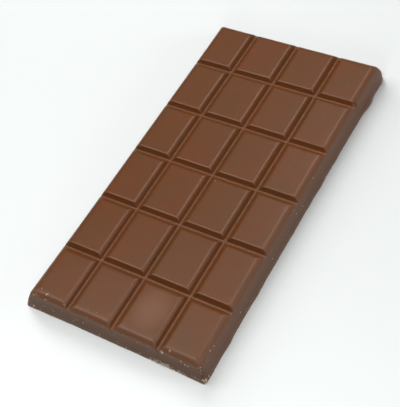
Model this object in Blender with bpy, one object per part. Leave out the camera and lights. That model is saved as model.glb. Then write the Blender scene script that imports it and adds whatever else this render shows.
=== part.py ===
"""A bar of milk chocolate, cast in a mould as one solid.

The bar lies on its flat back. Grooves with sloping walls and a narrow flat floor
part its top into columns and rows of pieces, and run out through the sloping
outer walls. Where two grooves cross, the corners of the pieces are mitred.

Units are metres and +Z is up. +Y runs along the bar, +X across it, and the origin
is under the middle of the bar, on the plane that the bar rests on.
"""

from math import acos, copysign, cos, radians, sin, sqrt, tan

import bmesh
import bpy

# Driving dimensions.
COLUMNS = 4
ROWS = 6
COLUMN_PITCH = 0.0198
ROW_PITCH = 0.0260
BASE_WIDTH = 0.0788
BASE_LENGTH = 0.1556
BAR_HEIGHT = 0.0075
WALL_SLOPE = radians(69.0)      # outer wall, from the horizontal
GROOVE_DEPTH = 0.0015
GROOVE_SLOPE = radians(50.0)    # groove wall, from the horizontal
GROOVE_FLOOR_WIDTH = 0.0009
EDGE_RADIUS = 0.0022            # roll from a piece's top into its walls
CORNER_RADIUS = 0.0011          # the bar's four upright corners

# How finely the curved shapes are divided.
GROOVE_EDGE_STEPS = 4           # along the roll into a groove
WALL_EDGE_STEPS = 2             # further round the roll into an outer wall
WALL_STEPS = 6                  # down an outer wall, below the grooves
FLAT_ANGLE = radians(0.05)      # faces closer than this to one plane are joined
SMOOTH_ANGLE = radians(25.0)

# Milk chocolate.
CHOCOLATE_COLOUR = (0.185, 0.091, 0.053, 1.0)
CHOCOLATE_ROUGHNESS = 0.42


def clear_scene():
    """Remove every object that the file starts with."""
    for thing in list(bpy.data.objects):
        bpy.data.objects.remove(thing, do_unlink=True)


def make_chocolate():
    """The finish of the whole bar: smooth milk chocolate with a satin gloss."""
    material = bpy.data.materials.new("milk_chocolate")
    material.use_nodes = True
    shader = material.node_tree.nodes["Principled BSDF"]
    shader.inputs["Base Color"].default_value = CHOCOLATE_COLOUR
    shader.inputs["Roughness"].default_value = CHOCOLATE_ROUGHNESS
    shader.inputs["Metallic"].default_value = 0.0
    return material


def roll_drop(angle):
    """How far the rolled edge has dropped where it has turned down by angle."""
    return EDGE_RADIUS * (1.0 - cos(angle))


def profile_drops():
    """The drops below the top that every wall is divided at, from top to floor."""
    groove_step = GROOVE_SLOPE / GROOVE_EDGE_STEPS
    wall_step = (WALL_SLOPE - GROOVE_SLOPE) / WALL_EDGE_STEPS
    turns = [groove_step * step for step in range(GROOVE_EDGE_STEPS + 1)]
    turns += [GROOVE_SLOPE + wall_step * step for step in range(1, WALL_EDGE_STEPS + 1)]
    return [roll_drop(turn) for turn in turns] + [GROOVE_DEPTH]


def reach(drop, slope):
    """How far outside its unrolled top edge a wall of this slope lies at a drop."""
    if drop < roll_drop(slope):
        turn = acos(1.0 - drop / EDGE_RADIUS)
        return EDGE_RADIUS * (sin(turn) - tan(slope / 2.0))
    return drop / tan(slope)


def wall_lines(base_size):
    """(distance from the middle, height) down one outer wall, from top to base."""
    half_top = base_size / 2.0 - BAR_HEIGHT / tan(WALL_SLOPE)
    below_grooves = BAR_HEIGHT - GROOVE_DEPTH
    drops = profile_drops()
    drops += [GROOVE_DEPTH + below_grooves * step / WALL_STEPS for step in range(1, WALL_STEPS + 1)]
    return [(half_top + reach(drop, WALL_SLOPE), BAR_HEIGHT - drop) for drop in drops]


def groove_lines(middle):
    """(position, height) across one groove, from its one top edge to the other."""
    half_floor = GROOVE_FLOOR_WIDTH / 2.0
    offsets = []
    for drop in profile_drops():
        inward = reach(GROOVE_DEPTH, GROOVE_SLOPE) - reach(drop, GROOVE_SLOPE)
        offsets.append((half_floor + inward, BAR_HEIGHT - drop))
    left = [(middle - offset, height) for offset, height in offsets]
    right = [(middle + offset, height) for offset, height in reversed(offsets)]
    return left + right


def section(count, pitch, base_size):
    """(position, height) of every line across the bar, along one axis."""
    wall = wall_lines(base_size)
    lines = [(-distance, height) for distance, height in reversed(wall)]
    for index in range(1, count):
        lines += groove_lines((index - count / 2.0) * pitch)
    return lines + wall


def round_corner(x, y):
    """Round the corners of the square rings that run round the flat top.

    The bar's upright corners are then sharp where they leave the flat top, and
    have their full radius from a little below it down to the base.
    """
    flat_x = wall_lines(BASE_WIDTH)[0][0]
    flat_y = wall_lines(BASE_LENGTH)[0][0]
    ring = max(abs(x) - flat_x, abs(y) - flat_y)
    radius = min(ring, CORNER_RADIUS)
    middle_x = flat_x + ring - radius
    middle_y = flat_y + ring - radius
    past_x = abs(x) - middle_x
    past_y = abs(y) - middle_y
    if past_x <= 0.0 or past_y <= 0.0:
        return x, y
    round_x = past_x * sqrt(1.0 - past_y ** 2 / (2.0 * radius ** 2))
    round_y = past_y * sqrt(1.0 - past_x ** 2 / (2.0 * radius ** 2))
    return copysign(middle_x + round_x, x), copysign(middle_y + round_y, y)


def make_vertices(mesh, across, along):
    """One vertex for each crossing of the lines, at the lower of their heights."""
    rows = []
    for y, height_y in along:
        row = []
        for x, height_x in across:
            place = round_corner(x, y)
            row.append(mesh.verts.new((*place, min(height_x, height_y))))
        rows.append(row)
    return rows


def make_top(mesh, rows, across, along):
    """The cells between the lines, split along the mitre where two walls meet."""
    for j in range(len(along) - 1):
        for i in range(len(across) - 1):
            near_left, near_right = rows[j][i], rows[j][i + 1]
            far_left, far_right = rows[j + 1][i], rows[j + 1][i + 1]
            heights_x = (across[i][1], across[i + 1][1])
            heights_y = (along[j][1], along[j + 1][1])
            level = heights_x[0] == heights_x[1]
            if heights_x == heights_y and not level:
                mesh.faces.new((near_left, near_right, far_right))
                mesh.faces.new((near_left, far_right, far_left))
            elif heights_x == heights_y[::-1] and not level:
                mesh.faces.new((near_left, near_right, far_left))
                mesh.faces.new((near_right, far_right, far_left))
            else:
                mesh.faces.new((near_left, near_right, far_right, far_left))


def make_back(mesh, rows):
    """The flat back, one face round the edge of the base."""
    near = rows[0]
    right = [row[-1] for row in rows[1:]]
    far = rows[-1][-2::-1]
    left = [row[0] for row in rows[-2:0:-1]]
    outline = near + right + far + left
    mesh.faces.new(outline[::-1])


def make_bar(material):
    """The whole bar, one closed body."""
    across = section(COLUMNS, COLUMN_PITCH, BASE_WIDTH)
    along = section(ROWS, ROW_PITCH, BASE_LENGTH)
    mesh = bmesh.new()
    rows = make_vertices(mesh, across, along)
    make_top(mesh, rows, across, along)
    make_back(mesh, rows)
    bmesh.ops.dissolve_limit(mesh, angle_limit=FLAT_ANGLE, verts=mesh.verts[:], edges=mesh.edges[:])
    bmesh.ops.triangulate(mesh, faces=mesh.faces[:])

    data = bpy.data.meshes.new("chocolate_bar")
    mesh.to_mesh(data)
    mesh.free()
    data.shade_smooth()
    data.set_sharp_from_angle(angle=SMOOTH_ANGLE)
    data.materials.append(material)
    bar = bpy.data.objects.new("chocolate_bar", data)
    bpy.context.scene.collection.objects.link(bar)
    return bar


clear_scene()
make_bar(make_chocolate())
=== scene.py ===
from math import cos, radians, sin

import bpy
from mathutils import Matrix, Vector


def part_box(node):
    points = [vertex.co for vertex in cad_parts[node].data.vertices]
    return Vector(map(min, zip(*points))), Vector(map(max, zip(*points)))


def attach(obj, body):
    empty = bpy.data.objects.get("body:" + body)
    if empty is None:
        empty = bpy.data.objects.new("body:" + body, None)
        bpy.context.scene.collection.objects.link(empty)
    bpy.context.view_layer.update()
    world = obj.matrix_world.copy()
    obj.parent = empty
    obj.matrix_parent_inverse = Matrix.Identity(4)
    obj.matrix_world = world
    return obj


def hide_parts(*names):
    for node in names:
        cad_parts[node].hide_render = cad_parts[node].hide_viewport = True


# The looks of a bar of milk chocolate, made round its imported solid.
#
# The whole bar is one cast surface. A Geometry Nodes tree lays a sheet of crowded
# lines over the bar's outline and works out, at every crossing, how far the mould
# has dropped there: down the outer walls, and into the grooves that part the top
# into pieces. A second tree breaks small crumbs and flakes off the same chocolate
# and sets them on the bar where it was knocked. Lengths are in metres.

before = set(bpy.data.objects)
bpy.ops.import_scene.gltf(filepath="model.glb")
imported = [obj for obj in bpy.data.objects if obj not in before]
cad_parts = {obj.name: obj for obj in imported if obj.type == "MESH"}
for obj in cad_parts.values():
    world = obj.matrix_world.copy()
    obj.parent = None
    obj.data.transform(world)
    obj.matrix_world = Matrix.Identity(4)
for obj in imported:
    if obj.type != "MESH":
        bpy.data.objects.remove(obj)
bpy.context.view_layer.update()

BAR_NODE = "chocolate_bar"
BODY = "root"
MILLIMETRE = 0.001

# ---------------------------------------------------------------- the bar's sizes

bar_low, bar_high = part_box(BAR_NODE)
BASE_WIDTH = bar_high.x - bar_low.x
BASE_LENGTH = bar_high.y - bar_low.y
BAR_HEIGHT = bar_high.z - bar_low.z
COLUMNS = 4
ROWS = 6
COLUMN_PITCH = 0.0198
ROW_PITCH = 0.0260
WALL_SLOPE = radians(70.2)
WALL_EDGE_RADIUS = 0.0028
CORNER_RADIUS = 0.0011
GROOVE_DEPTH = 0.0018
GROOVE_SLOPE = radians(54.0)
GROOVE_FLOOR_WIDTH = 0.0009
EDGE_RADIUS = 0.0022            # of a piece's far, left and right edges
NEAR_EDGE_RADIUS = 0.0012       # of its near edge
GROOVE_FLOOR_ROUND = 0.00035
MITRE_ROUND = 0.00035
RIM_ROUND = 0.00045

# Lines of the sheet: (how many lines out, how far out in metres) from a groove's
# middle, and inward from the edge of the base. They crowd where the surface turns.
LINES_PER_HALF_COLUMN = 26
LINES_PER_HALF_ROW = 28
GROOVE_LADDER = ((0, 0.0), (5, 0.0007), (8, 0.0012), (18, 0.0029))
WALL_LADDER = ((0, 0.0), (4, 0.00030), (11, 0.0024), (20, 0.0045))

# The wavy sheet of the back: how far it ends inside the base, and its points.
BACK_MARGIN = 0.0026
BACK_POINTS_ACROSS = 62
BACK_POINTS_ALONG = 124
WELD_DISTANCE = 5e-6            # closes the seam between the shell and the back


# ---------------------------------------------------------------- writing node trees


def feed(tree, socket, value):
    """Give a socket a link, where value is another socket, or else a plain value."""
    if isinstance(value, Field):
        value = value.socket
    if isinstance(value, bpy.types.NodeSocket):
        tree.links.new(value, socket)
    else:
        socket.default_value = value


def add_node(tree, kind, inputs=None, **settings):
    """A new node with its settings made and its inputs fed."""
    node = tree.nodes.new(kind)
    for name, value in settings.items():
        setattr(node, name, value)
    for key, value in (inputs or {}).items():
        feed(tree, node.inputs[key], value)
    return node


class Field:
    """A number that a tree works out at every point, written as a sum."""

    def __init__(self, tree, socket):
        self.tree = tree
        self.socket = socket

    def maths(self, operation, *values):
        node = add_node(self.tree, "ShaderNodeMath", operation=operation)
        for socket, value in zip(node.inputs, (self, *values)):
            feed(self.tree, socket, value)
        return Field(self.tree, node.outputs[0])

    def __add__(self, other):
        return self.maths("ADD", other)

    def __sub__(self, other):
        return self.maths("SUBTRACT", other)

    def __rsub__(self, other):
        return (self * -1.0) + other

    def __mul__(self, other):
        return self.maths("MULTIPLY", other)

    def __truediv__(self, other):
        return self.maths("DIVIDE", other)

    def above(self, other):
        return self.maths("MAXIMUM", other)

    def below(self, other):
        return self.maths("MINIMUM", other)

    def size(self):
        return self.maths("ABSOLUTE")

    def root(self):
        return self.maths("SQRT")

    def ramp(self, low, high, start=0.0, end=1.0, interpolation="LINEAR"):
        """start up to low, end past high, and in between them a clamped ramp."""
        node = add_node(self.tree, "ShaderNodeMapRange", interpolation_type=interpolation, clamp=True)
        for socket, value in zip(node.inputs, (self, low, high, start, end)):
            feed(self.tree, socket, value)
        return Field(self.tree, node.outputs[0])


def split(tree, vector):
    """The X, Y and Z of a vector, each as a field."""
    node = add_node(tree, "ShaderNodeSeparateXYZ", {0: vector})
    return [Field(tree, output) for output in node.outputs]


def join(tree, x=0.0, y=0.0, z=0.0):
    """A vector from its three fields."""
    return add_node(tree, "ShaderNodeCombineXYZ", {0: x, 1: y, 2: z}).outputs[0]


def noise(tree, place, grain, detail=2.0):
    """Smooth noise from about -1 to 1, whose humps are about grain metres apart."""
    node = add_node(tree, "ShaderNodeTexNoise", {"Vector": place, "Scale": 1.0 / grain, "Detail": detail})
    return (Field(tree, node.outputs[0]) - 0.5) * 2.0


def new_tree(name, sizes):
    """A Geometry Nodes tree with a mesh in, a mesh out and named inputs for sizes."""
    tree = bpy.data.node_groups.new(name, "GeometryNodeTree")
    face = tree.interface
    face.new_socket("Geometry", in_out="INPUT", socket_type="NodeSocketGeometry")
    for key, value in sizes.items():
        kind = "NodeSocketInt" if isinstance(value, int) else "NodeSocketFloat"
        face.new_socket(key, in_out="INPUT", socket_type=kind)
    face.new_socket("Material", in_out="INPUT", socket_type="NodeSocketMaterial")
    face.new_socket("Geometry", in_out="OUTPUT", socket_type="NodeSocketGeometry")
    return tree


def two_tone(tree, share, one, other):
    """A colour between two, going from one to the other as share goes from 0 to 1."""
    node = add_node(tree, "ShaderNodeMix", {0: share, 6: one, 7: other}, data_type="RGBA")
    return node.outputs[2]


def set_inputs(modifier, values):
    """Set a modifier's inputs by the names that its tree gives them."""
    for item in modifier.node_group.interface.items_tree:
        if item.in_out == "INPUT" and item.name in values:
            modifier[item.identifier] = values[item.name]


def bake_nodes(name, start_mesh, tree, values):
    """Run a tree on a mesh and keep what it makes as a plain mesh object."""
    maker = bpy.data.objects.new(name + "_maker", start_mesh)
    bpy.context.scene.collection.objects.link(maker)
    modifier = maker.modifiers.new("shape", "NODES")
    modifier.node_group = tree
    set_inputs(modifier, values)
    depsgraph = bpy.context.evaluated_depsgraph_get()
    mesh = bpy.data.meshes.new_from_object(maker.evaluated_get(depsgraph), depsgraph=depsgraph)
    maker.modifiers.remove(modifier)
    bpy.data.objects.remove(maker)
    mesh.name = name
    piece = bpy.data.objects.new(name, mesh)
    bpy.context.scene.collection.objects.link(piece)
    return piece


# ---------------------------------------------------------------- the cast surface


def ladder(lines, stops, last_line, last_place):
    """How far out a line lies: straight runs between the stops, then to the last."""
    places = list(stops) + [(last_line, last_place)]
    out = None
    for (line, place), (next_line, next_place) in zip(places, places[1:]):
        part = lines.ramp(float(line), float(next_line), 0.0, next_place - place)
        out = part if out is None else out + part
    return out


def lay_lines(tree, along, count, pitch, base, half_lines):
    """Move evenly spread lines, 0 to count, to where the bar's relief needs them."""
    nearest = along.maths("ROUND")
    aside = along - nearest
    lines = aside.size() * (2.0 * half_lines)
    from_groove = ladder(lines, GROOVE_LADDER, half_lines, pitch * 0.5)
    groove = (nearest - count * 0.5) * pitch + aside.maths("SIGN") * from_groove
    rest_of_half = base * 0.5 - (count * 0.5 - 0.5) * pitch
    from_edge = ladder(lines, WALL_LADDER, half_lines, rest_of_half)
    from_middle = nearest - count * 0.5
    outer = (base * 0.5 - from_edge) * from_middle.maths("SIGN")
    is_edge = from_middle.size().maths("GREATER_THAN", count * 0.5 - 0.5)
    return groove + (outer - groove) * is_edge


def roll_off(past, slope, radius):
    """The drop of a wall whose top edge is rolled, this far past where it starts."""
    sine = slope.maths("SINE")
    in_roll = past.above(0.0).below(sine * radius)
    roll = radius - (radius * radius - in_roll * in_roll).root()
    straight = (past - sine * radius).above(0.0) * slope.maths("TANGENT")
    return roll + straight


def softly_lower(one, other, softness):
    """The larger of two drops, with the ridge between them rounded."""
    ridge = (one.below(other) * 2.0).below(softness)
    return one.maths("SMOOTH_MAX", other, ridge)


def groove_drop(place, count, pitch, radii, sizes):
    """The drop into the grooves across one axis, at this place along it.

    The radii are of the rolled edges before and past a groove.
    """
    turn = place / pitch + count * 0.5
    nearest = turn.maths("ROUND").above(1.0).below(count - 1.0)
    past = (turn - nearest).maths("GREATER_THAN", 0.0)
    radius = radii[0] + (radii[1] - radii[0]) * past
    aside = (turn - nearest).size() * pitch
    slope, depth = sizes["Groove Slope"], sizes["Groove Depth"]
    tangent = (slope * 0.5).maths("TANGENT") * radius
    roll_start = sizes["Groove Floor"] * 0.5 + depth / slope.maths("TANGENT") + tangent
    wall = roll_off(roll_start - aside, slope, radius)
    return wall.maths("SMOOTH_MIN", depth, sizes["Floor Round"])


def dent_drop(x, y, dents):
    """The drop of the small pits, each (x, y, radius, depth) in metres."""
    total = None
    for dent_x, dent_y, radius, depth in dents:
        off_x = x - dent_x
        off_y = y - dent_y
        reach = (off_x * off_x + off_y * off_y).root()
        dent = reach.ramp(0.0, radius, depth, 0.0, interpolation="SMOOTHSTEP")
        total = dent if total is None else total + dent
    return total


BAR_SIZES = {
    "Columns": COLUMNS,
    "Rows": ROWS,
    "Column Pitch": COLUMN_PITCH,
    "Row Pitch": ROW_PITCH,
    "Base Width": BASE_WIDTH,
    "Base Length": BASE_LENGTH,
    "Bar Height": BAR_HEIGHT,
    "Wall Slope": WALL_SLOPE,
    "Wall Edge Radius": WALL_EDGE_RADIUS,
    "Edge Radius": EDGE_RADIUS,
    "Near Edge Radius": NEAR_EDGE_RADIUS,
    "Edge Change": 0.15,
    "Corner Radius": CORNER_RADIUS,
    "Groove Depth": GROOVE_DEPTH,
    "Groove Slope": GROOVE_SLOPE,
    "Groove Floor": GROOVE_FLOOR_WIDTH,
    "Floor Round": GROOVE_FLOOR_ROUND,
    "Mitre Round": MITRE_ROUND,
    "Rim Round": RIM_ROUND,
    "Top Waves": 0.00003,
    "Wall Waves": 0.00006,
    "Swell": 0.00010,
    "Far Swell": 0.00030,
    "Corner Flare": 0.00035,
    "Ragged Foot": 0.00025,
    "Back Waves": 0.00020,
}

# Small pits in the cast surface: (x, y, radius, depth).
DENTS = (
    (0.0368, 0.0537, 0.0009, 0.0014),
    (-0.0212, -0.0240, 0.0006, 0.0004),
)

# Where a wall bulges, or is hollow if the last number is negative: (wall, place
# along it, half length, height of its middle, half height, how far out).
BULGES = (
    ("right", 0.0600, 0.0080, 0.0009, 0.0009, 0.00110),
    ("right", 0.0290, 0.0045, 0.0005, 0.0005, 0.00025),
    ("right", 0.0140, 0.0060, 0.0005, 0.0005, 0.00035),
    ("right", -0.0090, 0.0045, 0.0005, 0.0005, 0.00025),
    ("right", -0.0390, 0.0035, 0.0005, 0.0005, 0.00040),
    ("right", -0.0610, 0.0055, 0.0005, 0.0005, 0.00045),
    ("left", 0.0260, 0.0045, 0.0008, 0.0008, 0.00045),
    ("left", -0.0420, 0.0030, 0.0006, 0.0006, 0.00030),
    ("left", -0.0780, 0.0450, 0.0045, 0.0045, 0.00045),
    ("far", 0.0410, 0.0110, 0.0000, 0.0034, -0.00170),
    ("right", 0.0790, 0.0080, 0.0000, 0.0034, -0.00080),
)


def bulges(place, across, height, walls):
    """How far two opposite walls bulge here, each wall with its side of the bar."""
    total = None
    for wall, middle, half_length, rise, half_height, depth in BULGES:
        if wall not in walls:
            continue
        along = ((place - middle) / half_length).size().ramp(0.0, 1.0, 1.0, 0.0, "SMOOTHERSTEP")
        upright = ((height - rise) / half_height).size()
        upright = upright.ramp(0.0, 1.4, depth, 0.0, "SMOOTHERSTEP")
        here = (across * walls[wall]).maths("GREATER_THAN", 0.0)
        bulge = along * upright * here
        total = bulge if total is None else total + bulge
    return total


def bar_tree():
    """The tree that casts the bar."""
    tree = new_tree("cast_bar", BAR_SIZES)
    start = add_node(tree, "NodeGroupInput")
    sizes = {key: Field(tree, start.outputs[key]) for key in BAR_SIZES}
    columns, rows = sizes["Columns"], sizes["Rows"]
    width, length, height = sizes["Base Width"], sizes["Base Length"], sizes["Bar Height"]

    # The sheet, one unit to a piece, with its lines moved to their places.
    sheet = add_node(tree, "GeometryNodeMeshGrid", {
        "Size X": columns,
        "Size Y": rows,
        "Vertices X": columns * (2.0 * LINES_PER_HALF_COLUMN) + 1.0,
        "Vertices Y": rows * (2.0 * LINES_PER_HALF_ROW) + 1.0,
    })
    place = add_node(tree, "GeometryNodeInputPosition").outputs[0]
    unit_x, unit_y, _ = split(tree, place)
    x = lay_lines(tree, unit_x + columns * 0.5, columns, sizes["Column Pitch"], width, LINES_PER_HALF_COLUMN)
    y = lay_lines(tree, unit_y + rows * 0.5, rows, sizes["Row Pitch"], length, LINES_PER_HALF_ROW)

    # The outer walls: rings round the flat top, round at the corners.
    slope, radius = sizes["Wall Slope"], sizes["Wall Edge Radius"]
    run = height / slope.maths("TANGENT") + (slope * 0.5).maths("TANGENT") * radius
    flat_x = width * 0.5 - run
    flat_y = length * 0.5 - run
    ring = (x.size() - flat_x).above(y.size() - flat_y).above(0.0)
    corner = ring.below(sizes["Corner Radius"])
    middle_x = flat_x + ring - corner
    middle_y = flat_y + ring - corner
    past_x = (x.size() - middle_x).above(0.0)
    past_y = (y.size() - middle_y).above(0.0)
    square = (corner * corner * 2.0).above(1e-12)
    round_x = past_x * (1.0 - past_y * past_y / square).root()
    round_y = past_y * (1.0 - past_x * past_x / square).root()
    x = (x.size().below(middle_x) + round_x) * x.maths("SIGN")
    y = (y.size().below(middle_y) + round_y) * y.maths("SIGN")
    wall = roll_off(ring, slope, radius)

    # The grooves, mitred where they cross and run out through the walls. Their
    # rolled edges are a little tighter in some places than in others.
    flat_place = join(tree, x, y)
    tight = noise(tree, flat_place, 0.030) * sizes["Edge Change"] + 1.0
    wide, narrow = sizes["Edge Radius"] * tight, sizes["Near Edge Radius"] * tight
    across = groove_drop(x, columns, sizes["Column Pitch"], (wide, wide), sizes)
    along = groove_drop(y, rows, sizes["Row Pitch"], (wide, narrow), sizes)
    grooves = softly_lower(across, along, sizes["Mitre Round"])
    drop = softly_lower(grooves, wall, sizes["Rim Round"])

    # Slight waves of the cooled top, and pits left by air.
    inside = ring.ramp(0.0, run, 1.0, 0.0)
    waves = noise(tree, flat_place, 0.018) * sizes["Top Waves"] * inside
    pits = dent_drop(x, y, DENTS)
    z = (height - drop - waves - pits).above(0.0)
    foot = ring.ramp(run - 0.00002, run - 0.00001, 1.0, 0.0)
    z = z * foot
    moulded = add_node(tree, "GeometryNodeSetPosition", {
        "Geometry": sheet.outputs["Mesh"],
        "Position": join(tree, x, y, z),
    })

    # Relief of the walls: slow waves all the way down and a ragged foot.
    spot = add_node(tree, "GeometryNodeInputPosition").outputs[0]
    spot_x, spot_y, spot_z = split(tree, spot)
    out_x = (spot_x.size() - flat_x).above(0.0)
    out_y = (spot_y.size() - flat_y).above(0.0)
    out = (out_x * out_x + out_y * out_y).root().above(1e-6)
    slow = noise(tree, spot, 0.007) * sizes["Wall Waves"]
    ragged = (noise(tree, spot, 0.0012, 3.0) * 0.6 + noise(tree, spot, 0.006) * 0.7).above(-0.2)
    low_down = spot_z.ramp(0.0, 0.0013, 1.0, 0.0)
    end_x = spot_x * 2.0 / width
    end_y = spot_y * 2.0 / length
    ends = (end_x * end_x).below(end_y * end_y)
    slow = slow + sizes["Swell"] + sizes["Corner Flare"] * ends * ends
    slow = slow + spot_y.ramp(0.070, 0.076) * sizes["Far Swell"]
    push = slow + ragged * sizes["Ragged Foot"] * low_down * low_down
    push = push * out.ramp(0.0, run, 0.0, 1.0) / out
    side_bulge = bulges(spot_y, spot_x, spot_z, {"right": 1.0, "left": -1.0}) * out_x.ramp(0.0, run)
    end_bulge = bulges(spot_x, spot_y, spot_z, {"far": 1.0, "near": -1.0}) * out_y.ramp(0.0, run)
    relief = add_node(tree, "GeometryNodeSetPosition", {
        "Geometry": moulded.outputs[0],
        "Offset": join(
            tree,
            (push * out_x + side_bulge) * spot_x.maths("SIGN"),
            (push * out_y + end_bulge) * spot_y.maths("SIGN"),
        ),
    })

    back = cast_back(tree, relief.outputs[0], width, length, sizes["Back Waves"])
    whole = add_node(tree, "GeometryNodeJoinGeometry")
    for part in (relief.outputs[0], back):
        tree.links.new(part, whole.inputs[0])
    closed = add_node(tree, "GeometryNodeMergeByDistance", {
        "Geometry": whole.outputs[0],
        "Distance": WELD_DISTANCE,
    })
    smooth = add_node(tree, "GeometryNodeSetShadeSmooth", {"Geometry": closed.outputs[0]})
    real = add_node(tree, "GeometryNodeRealizeInstances", {"Geometry": smooth.outputs[0]})
    finish = add_node(tree, "GeometryNodeSetMaterial", {
        "Geometry": real.outputs[0],
        "Material": start.outputs["Material"],
    })
    end = add_node(tree, "NodeGroupOutput")
    tree.links.new(finish.outputs[0], end.inputs[0])
    return tree


def rim_curve(tree, mesh):
    """The open edge of a mesh, as a curve."""
    faces = add_node(tree, "GeometryNodeInputMeshEdgeNeighbors").outputs[0]
    is_rim = Field(tree, faces).maths("LESS_THAN", 1.5)
    return add_node(tree, "GeometryNodeMeshToCurve", {"Mesh": mesh, "Selection": is_rim}).outputs[0]


def cast_back(tree, shell, width, length, waves):
    """The poured back that closes the shell: a wavy sheet and a ring out to the foot."""
    sheet_x = width - 2.0 * BACK_MARGIN
    sheet_y = length - 2.0 * BACK_MARGIN
    sheet = add_node(tree, "GeometryNodeMeshGrid", {
        "Size X": sheet_x,
        "Size Y": sheet_y,
        "Vertices X": BACK_POINTS_ACROSS,
        "Vertices Y": BACK_POINTS_ALONG,
    }).outputs[0]
    rims = add_node(tree, "GeometryNodeJoinGeometry")
    for mesh in (shell, sheet):
        tree.links.new(rim_curve(tree, mesh), rims.inputs[0])
    ring = add_node(tree, "GeometryNodeFillCurve", {"Curve": rims.outputs[0]}).outputs[0]

    spot = add_node(tree, "GeometryNodeInputPosition").outputs[0]
    x, y, _ = split(tree, spot)
    from_edge = (sheet_x * 0.5 - x.size()).below(sheet_y * 0.5 - y.size())
    lift = (noise(tree, spot, 0.022) * 0.6 + noise(tree, spot, 0.006) * 0.25 + 0.5).above(0.0)
    lift = lift * waves * from_edge.ramp(0.0, 0.006, 0.0, 1.0, interpolation="SMOOTHSTEP")
    wavy = add_node(tree, "GeometryNodeSetPosition", {"Geometry": sheet, "Offset": join(tree, z=lift)})
    both = add_node(tree, "GeometryNodeJoinGeometry")
    for mesh in (ring, wavy.outputs[0]):
        tree.links.new(mesh, both.inputs[0])
    return add_node(tree, "GeometryNodeFlipFaces", {"Mesh": both.outputs[0]}).outputs[0]


def make_bar(chocolate):
    """The bar itself."""
    empty = bpy.data.meshes.new("start")
    values = dict(BAR_SIZES)
    values["Material"] = chocolate
    return bake_nodes("cast_bar", empty, bar_tree(), values)


# ---------------------------------------------------------------- crumbs and flakes

# Where crumbs cling to the bar: (x, y, z, how far they spread, how many, how big),
# in millimetres. Each is laid on the nearest of the bar's surface.
CRUMB_SPOTS = (
    # Knocks along the front wall's upper edge.
    (21.7, -75.5, 6.1, 0.55, 12, 0.21),
    (24.6, -74.7, 7.0, 0.35, 5, 0.22),
    (25.8, -75.8, 5.6, 0.30, 3, 0.19),
    (29.7, -75.8, 5.7, 0.30, 5, 0.22),
    (31.2, -76.0, 5.0, 0.30, 3, 0.19),
    (32.6, -76.1, 4.8, 0.30, 3, 0.19),
    (14.0, -75.4, 6.4, 2.00, 4, 0.15),
    (2.0, -75.4, 6.4, 3.00, 4, 0.15),
    (-10.0, -75.4, 6.2, 3.00, 5, 0.15),
    (-22.0, -75.4, 6.2, 3.00, 7, 0.16),
    # The near right upright edge.
    (37.0, -75.3, 6.3, 0.45, 8, 0.17),
    (37.6, -76.0, 5.0, 0.45, 7, 0.16),
    (38.0, -76.4, 4.0, 0.40, 6, 0.15),
    # The right wall's upper edge.
    (37.2, -66.0, 5.8, 0.40, 5, 0.19),
    (36.9, -68.1, 6.4, 0.35, 4, 0.18),
    (37.6, -71.5, 5.0, 0.80, 4, 0.16),
    # The near left corner.
    (-30.2, -73.6, 7.3, 0.55, 8, 0.25),
    (-29.9, -75.3, 6.5, 0.40, 4, 0.20),
    (-33.3, -72.5, 7.4, 0.50, 4, 0.20),
    (-35.4, -74.9, 5.8, 0.50, 5, 0.20),
    (-34.8, -68.4, 7.5, 0.30, 2, 0.18),
    (-34.2, -75.0, 6.7, 0.80, 8, 0.18),
    # Single specks on the tops.
    (22.2, 49.2, 7.5, 0.05, 1, 0.22),
    (13.7, 59.4, 7.5, 0.05, 1, 0.20),
    (30.3, 60.7, 7.5, 0.05, 1, 0.21),
    (29.1, 42.3, 7.5, 0.05, 1, 0.21),
    (3.2, -2.8, 7.5, 0.05, 1, 0.22),
    (17.5, 23.2, 7.5, 0.05, 1, 0.19),
    (37.7, 13.7, 6.0, 0.05, 1, 0.20),
    (37.9, -2.9, 6.0, 0.05, 1, 0.20),
    (30.9, -68.1, 7.5, 0.05, 1, 0.18),
    # Specks on the right wall and on the front wall.
    (38.6, 2.0, 3.0, 0.30, 2, 0.18),
    (38.6, 0.0, 2.5, 0.20, 1, 0.18),
    (38.6, -3.0, 4.0, 0.20, 2, 0.17),
    (38.6, -24.0, 3.0, 0.20, 2, 0.18),
    (38.6, -49.0, 3.0, 0.20, 2, 0.18),
    (-12.7, -76.6, 3.7, 0.10, 1, 0.20),
    (-26.4, -76.9, 2.7, 0.15, 2, 0.19),
    (-15.6, -76.6, 3.7, 0.10, 1, 0.18),
    (-5.3, -77.3, 1.5, 0.15, 1, 0.20),
    (-3.5, -75.7, 5.9, 0.10, 1, 0.19),
    (2.2, -77.2, 1.7, 0.15, 2, 0.19),
    (6.2, -77.6, 0.8, 0.20, 2, 0.20),
    (5.1, -75.5, 6.2, 0.10, 1, 0.20),
    (12.2, -77.6, 0.9, 0.20, 2, 0.20),
    (11.1, -75.8, 5.6, 0.10, 1, 0.19),
)

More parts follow.
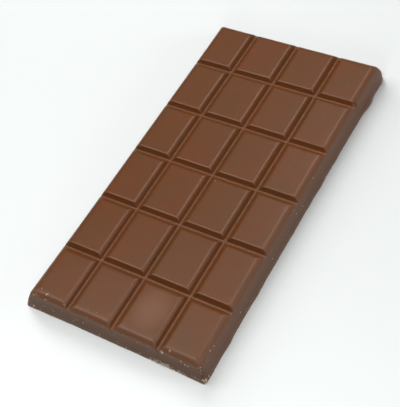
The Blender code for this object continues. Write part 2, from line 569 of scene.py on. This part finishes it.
# Where thin flakes stand off the foot, written in the same way.
FLAKE_SPOTS = (
    (17.4, -77.8, 0.5, 0.90, 14, 0.24),
    (19.4, -77.8, 0.6, 1.00, 24, 0.29),
    (21.6, -77.8, 0.6, 1.00, 26, 0.31),
    (23.8, -77.8, 0.5, 1.00, 24, 0.31),
    (26.2, -77.8, 0.5, 1.00, 14, 0.26),
    (29.0, -77.8, 0.4, 1.00, 12, 0.24),
    (31.0, -77.8, 0.4, 1.00, 9, 0.22),
    (35.0, -77.8, 0.4, 2.00, 12, 0.19),
    (39.0, -77.2, 1.0, 0.80, 36, 0.27),
    (39.4, -75.4, 0.5, 0.90, 12, 0.24),
    (-35.9, -77.3, 1.4, 0.45, 9, 0.28),
    (-30.0, -77.8, 0.3, 4.00, 26, 0.17),
    (-20.0, -77.8, 0.3, 4.00, 18, 0.16),
    (-8.0, -77.8, 0.3, 5.00, 14, 0.15),
    (6.0, -77.8, 0.3, 5.00, 14, 0.16),
    (39.4, -44.0, 0.3, 3.00, 10, 0.18),
    (39.4, -13.0, 0.3, 3.00, 9, 0.18),
    (39.4, 20.0, 0.3, 3.00, 9, 0.18),
    (-39.4, -60.0, 0.3, 3.00, 10, 0.18),
    (-39.4, 12.0, 0.3, 3.00, 10, 0.18),
    (-14.0, 77.8, 0.3, 3.00, 10, 0.18),
    (22.0, 77.8, 0.3, 3.00, 10, 0.18),
)

CRUMB_SIZES = {
    "Seed": 4,
    "Flatness": 0.30,
    "Roughness": 0.55,
    "Sink": 0.20,
}
FLAKE_SIZES = {
    "Seed": 11,
    "Flatness": 0.62,
    "Roughness": 0.70,
    "Sink": 0.10,
}


def random_field(tree, low, high, seed):
    """A random number for each point or instance."""
    node = add_node(tree, "FunctionNodeRandomValue", data_type="FLOAT")
    for key, value in (("Min", low), ("Max", high), ("Seed", seed)):
        socket = next(item for item in node.inputs if item.name == key and item.enabled)
        feed(tree, socket, value)
    output = next(item for item in node.outputs if item.enabled)
    return Field(tree, output)


def spot_value(tree, name):
    """A number that the start mesh carries at each of its points."""
    node = add_node(tree, "GeometryNodeInputNamedAttribute", {"Name": name}, data_type="FLOAT")
    return Field(tree, node.outputs[0])


def crumb_shape(tree, sizes):
    """One crumb, about one unit across: a ball with broken flats and one side thinned."""
    ball = add_node(tree, "GeometryNodeMeshIcoSphere", {"Radius": 0.5, "Subdivisions": 2}).outputs["Mesh"]
    spot = add_node(tree, "GeometryNodeInputPosition").outputs[0]
    x, y, z = split(tree, spot)
    rough = noise(tree, spot, 0.45, 1.0) * sizes["Roughness"] + 1.0
    thin = z * rough * (1.0 - sizes["Flatness"])
    shape = join(tree, x * rough, y * rough, thin)
    return add_node(tree, "GeometryNodeSetPosition", {"Geometry": ball, "Position": shape}).outputs[0]


def crumb_tree(name, defaults):
    """The tree that spreads crumbs about its start points and lays them on the bar."""
    tree = new_tree(name, defaults)
    tree.interface.new_socket("Bar", in_out="INPUT", socket_type="NodeSocketObject")
    start = add_node(tree, "NodeGroupInput")
    sizes = {key: Field(tree, start.outputs[key]) for key in defaults}
    seed = sizes["Seed"]
    points = add_node(tree, "GeometryNodeDuplicateElements", {
        "Geometry": start.outputs["Geometry"],
        "Amount": spot_value(tree, "many"),
    }, domain="POINT").outputs[0]
    reach = spot_value(tree, "reach")
    offset = [random_field(tree, -1.0, 1.0, seed + float(step)) * reach for step in (1, 2, 3)]
    spread = add_node(tree, "GeometryNodeSetPosition", {"Geometry": points, "Offset": join(tree, *offset)})

    bar = add_node(tree, "GeometryNodeObjectInfo", {"Object": start.outputs["Bar"]}).outputs["Geometry"]
    nearest = add_node(tree, "GeometryNodeProximity", {0: bar}, target_element="FACES").outputs["Position"]
    big = spot_value(tree, "big") * random_field(tree, 0.45, 1.15, seed + 4.0)
    bar_x, bar_y, bar_z = split(tree, nearest)
    sunk = (bar_z - big * sizes["Sink"]).above(big * 0.75)
    laid = add_node(tree, "GeometryNodeSetPosition", {
        "Geometry": spread.outputs[0],
        "Position": join(tree, bar_x, bar_y, sunk),
    })

    turns = [random_field(tree, 0.0, 6.28, seed + float(step)) for step in (5, 6, 7)]
    scale = [big * random_field(tree, 0.7, 1.3, seed + float(step)) for step in (8, 9)]
    crumbs = add_node(tree, "GeometryNodeInstanceOnPoints", {
        "Points": laid.outputs[0],
        "Instance": crumb_shape(tree, sizes),
        "Rotation": join(tree, *turns),
        "Scale": join(tree, scale[0], scale[1], big),
    })
    real = add_node(tree, "GeometryNodeRealizeInstances", {"Geometry": crumbs.outputs[0]})
    finish = add_node(tree, "GeometryNodeSetMaterial", {
        "Geometry": real.outputs[0],
        "Material": start.outputs["Material"],
    })
    end = add_node(tree, "NodeGroupOutput")
    tree.links.new(finish.outputs[0], end.inputs[0])
    return tree


def make_crumbs(name, spots, sizes, bar, finish):
    """All the crumbs of one kind, as one piece."""
    mesh = bpy.data.meshes.new(name + "_spots")
    mesh.from_pydata([[size * MILLIMETRE for size in spot[:3]] for spot in spots], [], [])
    carried = {
        "reach": [spot[3] * MILLIMETRE for spot in spots],
        "many": [float(spot[4]) for spot in spots],
        "big": [spot[5] * 2.0 * MILLIMETRE for spot in spots],
    }
    for key, values in carried.items():
        mesh.attributes.new(key, "FLOAT", "POINT").data.foreach_set("value", values)
    values = dict(sizes)
    values["Material"] = finish
    values["Bar"] = bar
    return bake_nodes(name, mesh, crumb_tree(name, sizes), values)


# ---------------------------------------------------------------- finishes


def new_material(name):
    """A material with only its shader, which is returned with the tree."""
    material = bpy.data.materials.new(name)
    material.use_nodes = True
    tree = material.node_tree
    return material, tree, tree.nodes["Principled BSDF"]


REDDISH_BROWN = (0.198, 0.0560, 0.0125, 1.0)
OLIVE_BROWN = (0.164, 0.0575, 0.0130, 1.0)
# Painted sheen: a paler brown for the rolled outer edge, in place of the light it reflects.
EDGE_SHEEN_BROWN = (0.208, 0.0940, 0.0520, 1.0)
# Painted highlight: a paler brown for the soft pale patch on one piece.
HIGHLIGHT_BROWN = (0.255, 0.1050, 0.0480, 1.0)
# Painted sheen: a greyer brown for the lower walls, in place of their grey reflection of the floor.
GREY_SHEEN_BROWN = (0.172, 0.0790, 0.0430, 1.0)
# Painted shade: a darker brown for the front wall, which faces away from the light.
SHADED_FRONT_BROWN = (0.128, 0.0480, 0.0130, 1.0)
PALE_BROWN = (0.930, 0.8400, 0.7100, 1.0)
CRUMB_BROWN = (0.520, 0.3800, 0.2650, 1.0)

# A painted highlight on one piece: a soft pale patch where a softbox's reflection falls.
HIGHLIGHT_PLACE = (0.0100, -0.0630)
HIGHLIGHT_REACH = (0.0075, 0.0100)


def chocolate_finish():
    """Milk chocolate: satin, slightly mottled and a little pale at the foot, with painted sheen on its
    rolled edge and walls, painted shade on its front wall and a painted highlight on one piece.
    """
    material, tree, shader = new_material("milk_chocolate")
    place = add_node(tree, "ShaderNodeTexCoord").outputs["Object"]
    x, y, height = split(tree, place)
    drift = noise(tree, place, 0.013, 3.0)
    grain = noise(tree, place, 0.0011, 4.0)
    fine = noise(tree, place, 0.00035, 2.0)

    # The fat has set a little redder in some places than in others. Painted sheen makes
    # the rolled outer edge paler and the walls below it greyer; painted shade darkens the front wall.
    brown = two_tone(tree, drift.ramp(-0.45, 0.45), REDDISH_BROWN, OLIVE_BROWN)
    outer = (x.size() - BASE_WIDTH * 0.5).above(y.size() - BASE_LENGTH * 0.5)
    handled = outer.ramp(-0.0047, -0.0034)
    # Painted sheen: a pale band along the bar's rolled outer edge.
    edge_sheen = outer.ramp(-0.0036, -0.0026) * (grain * 0.3 + drift * 0.2 + 0.80)
    low_down = height.ramp(0.0060, 0.0044, 0.0, 1.0, interpolation="SMOOTHSTEP")
    # Painted sheen and painted shade low on the walls: this mask mixes in the wall colours.
    wall_sheen_and_shade = low_down * (grain * 0.35 + drift * 0.25 + 0.80).above(0.0)
    # Painted shade: the lower front wall is painted darker.
    front_shade = y.ramp(0.0020 - BASE_LENGTH * 0.5, 0.0036 - BASE_LENGTH * 0.5, 1.0, 0.0)
    foot = height.ramp(0.0016, 0.0003, 0.0, 0.08) * (grain * 1.2 + 0.8).above(0.0)
    # Painted highlight: a soft pale patch on one piece of the near row.
    highlight_x = (x - HIGHLIGHT_PLACE[0]) / HIGHLIGHT_REACH[0]
    highlight_y = (y - HIGHLIGHT_PLACE[1]) / HIGHLIGHT_REACH[1]
    painted_highlight = (highlight_x * highlight_x + highlight_y * highlight_y).ramp(1.0, 0.0, 0.0, 0.85) * (drift * 0.3 + 1.0)
    colour = two_tone(tree, painted_highlight.below(1.0), brown, HIGHLIGHT_BROWN)
    # Mix in the painted sheen of the rolled outer edge.
    colour = two_tone(tree, edge_sheen.below(1.0), colour, EDGE_SHEEN_BROWN)
    # Painted sheen on the side and far walls, painted shade on the front wall.
    walls = two_tone(tree, front_shade, GREY_SHEEN_BROWN, SHADED_FRONT_BROWN)
    # Mix in the painted sheen and painted shade of the lower walls.
    colour = two_tone(tree, wall_sheen_and_shade.below(1.0), colour, walls)
    colour = two_tone(tree, foot.below(1.0), colour, PALE_BROWN)
    feed(tree, shader.inputs["Base Color"], colour)

    feed(tree, shader.inputs["Roughness"], drift * 0.03 + grain * 0.04 + handled * 0.14 + 0.31)
    relief = grain * 0.000006 + fine * 0.0000025 + drift * 0.00001
    bump = add_node(tree, "ShaderNodeBump", {"Height": relief, "Distance": 1.0, "Strength": 1.0})
    feed(tree, shader.inputs["Normal"], bump.outputs["Normal"])
    shader.inputs["IOR"].default_value = 1.5
    return material


def crumb_finish():
    """Broken chocolate: rough, dry and paler than a cast face."""
    material, tree, shader = new_material("broken_chocolate")
    place = add_node(tree, "ShaderNodeTexCoord").outputs["Object"]
    patches = noise(tree, place, 0.0006, 3.0)
    colour = two_tone(tree, patches.ramp(-0.4, 0.4), CRUMB_BROWN, PALE_BROWN)
    feed(tree, shader.inputs["Base Color"], colour)
    feed(tree, shader.inputs["Roughness"], patches * 0.08 + 0.62)
    bump = add_node(tree, "ShaderNodeBump", {"Height": patches * 0.00003, "Distance": 1.0, "Strength": 1.0})
    feed(tree, shader.inputs["Normal"], bump.outputs["Normal"])
    return material


def floor_finish():
    """A plain pale surface."""
    material, _, shader = new_material("pale_floor")
    shader.inputs["Base Color"].default_value = (0.90, 0.915, 0.91, 1.0)
    shader.inputs["Roughness"].default_value = 0.8
    return material


# ---------------------------------------------------------------- floor, light, camera

FLOOR_SIZE = 3.0


def make_floor():
    """The plain floor that the bar lies on."""
    half = FLOOR_SIZE / 2.0
    corners = [(-half, -half, 0.0), (half, -half, 0.0), (half, half, 0.0), (-half, half, 0.0)]
    mesh = bpy.data.meshes.new("floor")
    mesh.from_pydata(corners, [], [(0, 1, 2, 3)])
    mesh.materials.append(floor_finish())
    floor = bpy.data.objects.new("floor", mesh)
    bpy.context.scene.collection.objects.link(floor)
    return floor


def add_softbox(name, azimuth, elevation, distance, size, power, colour=(1.0, 1.0, 1.0)):
    """A square softbox that faces the bar. Azimuth 0 is beyond the bar, 90 its right."""
    turn, tilt = radians(azimuth), radians(elevation)
    place = Vector((sin(turn) * cos(tilt), cos(turn) * cos(tilt), sin(tilt))) * distance
    light = bpy.data.lights.new(name, "AREA")
    light.shape = "SQUARE"
    light.size = size
    light.energy = power
    light.color = colour
    lamp = bpy.data.objects.new(name, light)
    lamp.location = place
    lamp.rotation_euler = place.to_track_quat("Z", "Y").to_euler()
    bpy.context.scene.collection.objects.link(lamp)
    return lamp


# Softboxes: (name, azimuth, elevation, distance, size, power).
BAR_LIGHTS = (
    ("left_high", -100.0, 64.0, 1.20, 0.36, 2.50),
    ("far_left", -13.0, 62.0, 1.20, 0.36, 1.50),
    ("key", -36.0, 41.0, 1.20, 0.45, 0.33),
    ("left", -67.0, 64.0, 1.20, 0.36, 0.75),
    ("left_side", -95.0, 30.0, 1.20, 0.36, 1.30),
    ("far", 0.0, 48.0, 1.20, 0.36, 1.25),
    ("near_top", 180.0, 70.0, 1.20, 0.36, 2.45),
    ("far_right", 35.0, 50.0, 1.20, 0.36, 0.40),
    ("overhead", 35.0, 75.0, 1.20, 0.36, 1.25),
    ("right", 80.0, 45.0, 1.20, 0.36, 2.10),
)
FLOOR_LIGHTS = (
    ("window_low", -60.0, 10.0, 3.60, 1.35, 65.0),
    ("window", -45.0, 30.0, 3.60, 1.35, 53.0),
    ("window_top", -60.0, 55.0, 3.60, 1.35, 36.0),
    ("window_side", -90.0, 30.0, 3.60, 1.35, 28.0),
    ("far_right_low", 70.0, 10.0, 3.60, 1.35, 48.0),
    ("near_lamp", 180.0, 60.3, 0.484, 0.20, 0.56),
    ("near_right_lamp", 165.0, 24.0, 0.367, 0.12, 0.34),
    ("far_left_lamp", -26.6, 30.8, 0.390, 0.12, 0.15),
)
SKY_STRENGTH = 0.02
WARM_WHITE = (1.0, 0.98, 0.94)
COOL_WHITE = (0.985, 1.0, 0.995)


def light_group(lights, colour, lit):
    """Softboxes that light only the objects named in lit; the rest still shade them."""
    group = bpy.data.collections.new("lit_by_" + lights[0][0])
    for thing in lit:
        group.objects.link(thing)
    for name, *setting in lights:
        lamp = add_softbox(name, *setting, colour)
        lamp.light_linking.receiver_collection = group


def light_scene(bar_pieces, floor):
    """Soft studio light: some softboxes on the bar, others on the floor round it."""
    world = bpy.data.worlds.new("studio")
    world.use_nodes = True
    sky = world.node_tree.nodes["Background"]
    sky.inputs["Color"].default_value = (1.0, 1.0, 1.0, 1.0)
    sky.inputs["Strength"].default_value = SKY_STRENGTH
    bpy.context.scene.world = world
    light_group(BAR_LIGHTS, WARM_WHITE, bar_pieces)
    light_group(FLOOR_LIGHTS, COOL_WHITE, [floor])


# The camera looks down on the bar from its near right, rolled about its own axis.
CAMERA_PLACE = Vector((0.15641, -0.18092, 0.29611))
CAMERA_AIM = Vector((0.00299, -0.01490, 0.00750))
CAMERA_ROLL = radians(-16.43)
FOCAL_LENGTH = 84.09
SENSOR_SIZE = 36.0


def make_camera():
    """The camera, turned to its aim and then rolled about its own axis."""
    data = bpy.data.cameras.new("camera")
    data.sensor_width = SENSOR_SIZE
    data.lens = FOCAL_LENGTH
    data.clip_start = 0.01
    camera = bpy.data.objects.new("camera", data)
    look = (CAMERA_AIM - CAMERA_PLACE).to_track_quat("-Z", "Y").to_matrix()
    roll = Matrix.Rotation(CAMERA_ROLL, 3, "Z")
    camera.matrix_world = Matrix.Translation(CAMERA_PLACE) @ (look @ roll).to_4x4()
    bpy.context.scene.collection.objects.link(camera)
    bpy.context.scene.camera = camera


# ---------------------------------------------------------------- making it all

bar = make_bar(chocolate_finish())
broken = crumb_finish()
crumbs = make_crumbs("crumbs", CRUMB_SPOTS, CRUMB_SIZES, bar, broken)
flakes = make_crumbs("flakes", FLAKE_SPOTS, FLAKE_SIZES, bar, broken)
pieces = [bar, crumbs, flakes]
make_camera()
light_scene(pieces, make_floor())
bpy.context.scene.view_settings.view_transform = "Standard"

for piece in pieces:
    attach(piece, BODY)
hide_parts(BAR_NODE)
